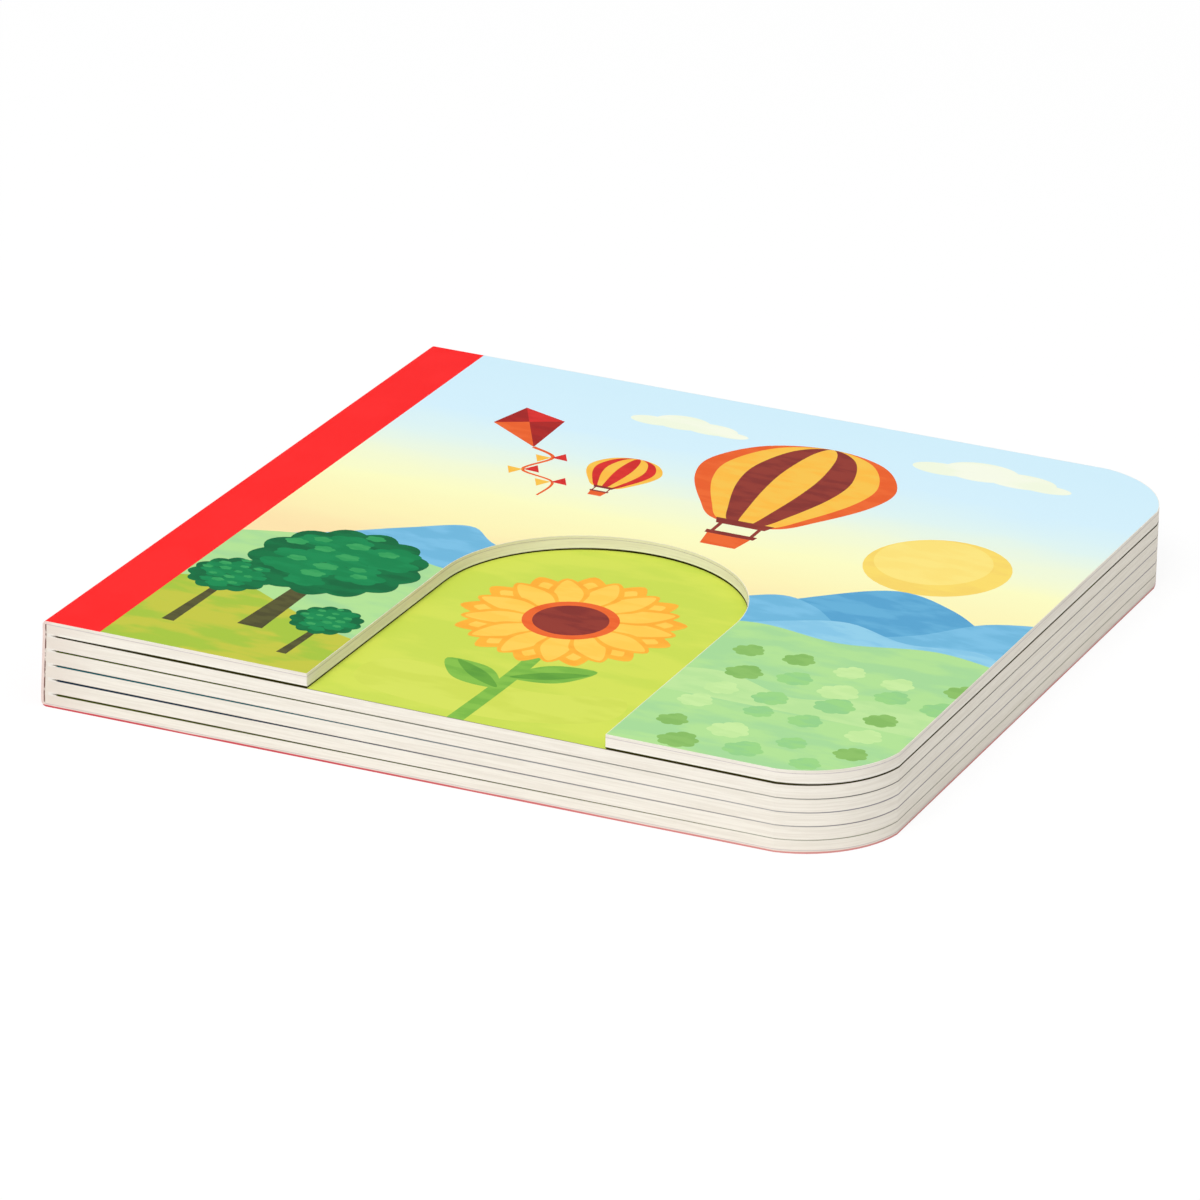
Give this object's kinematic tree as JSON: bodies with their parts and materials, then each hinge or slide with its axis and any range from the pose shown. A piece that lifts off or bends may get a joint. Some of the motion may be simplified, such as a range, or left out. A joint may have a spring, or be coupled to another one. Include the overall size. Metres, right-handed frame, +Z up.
{
  "type": "board book",
  "caption": "Square children's board book, closed: thick rounded boards in a folded card cover, with an arched window cut through the front.",
  "frame": {"origin": "centre of the underside, on the surface that the closed book lies on", "axes": "+X from the spine to the fore-edge, +Y from the tail to the head, +Z up through the thickness"},
  "size_m": [0.1506, 0.15, 0.0157],
  "materials": {
    "page_board": "matt cut edges, satin printed faces",
    "cover_board": "matt cut edges",
    "red_cover_card": "satin film-laminated print",
    "printed_cover_card": "satin film-laminated print"
  },
  "bodies": {
    "pages": {"page_block": "page_board", "spine_strip": "red_cover_card"},
    "front_cover": {"front_board": "cover_board", "front_wrap": "printed_cover_card"},
    "back_cover": {"back_board": "cover_board", "back_wrap": "red_cover_card"}
  },
  "joints": [
    {"name": "front_cover_crease", "type": "hinge", "parent": "pages", "child": "front_cover", "pos_m": [-0.07495, 0, 0.0132], "axis": [0, -1, 0], "range_deg": [0, 180]},
    {"name": "back_cover_crease", "type": "hinge", "parent": "pages", "child": "back_cover", "pos_m": [-0.0753, 0, 0.00252], "axis": [0, 1, 0], "range_deg": [0, 180]}
  ]
}
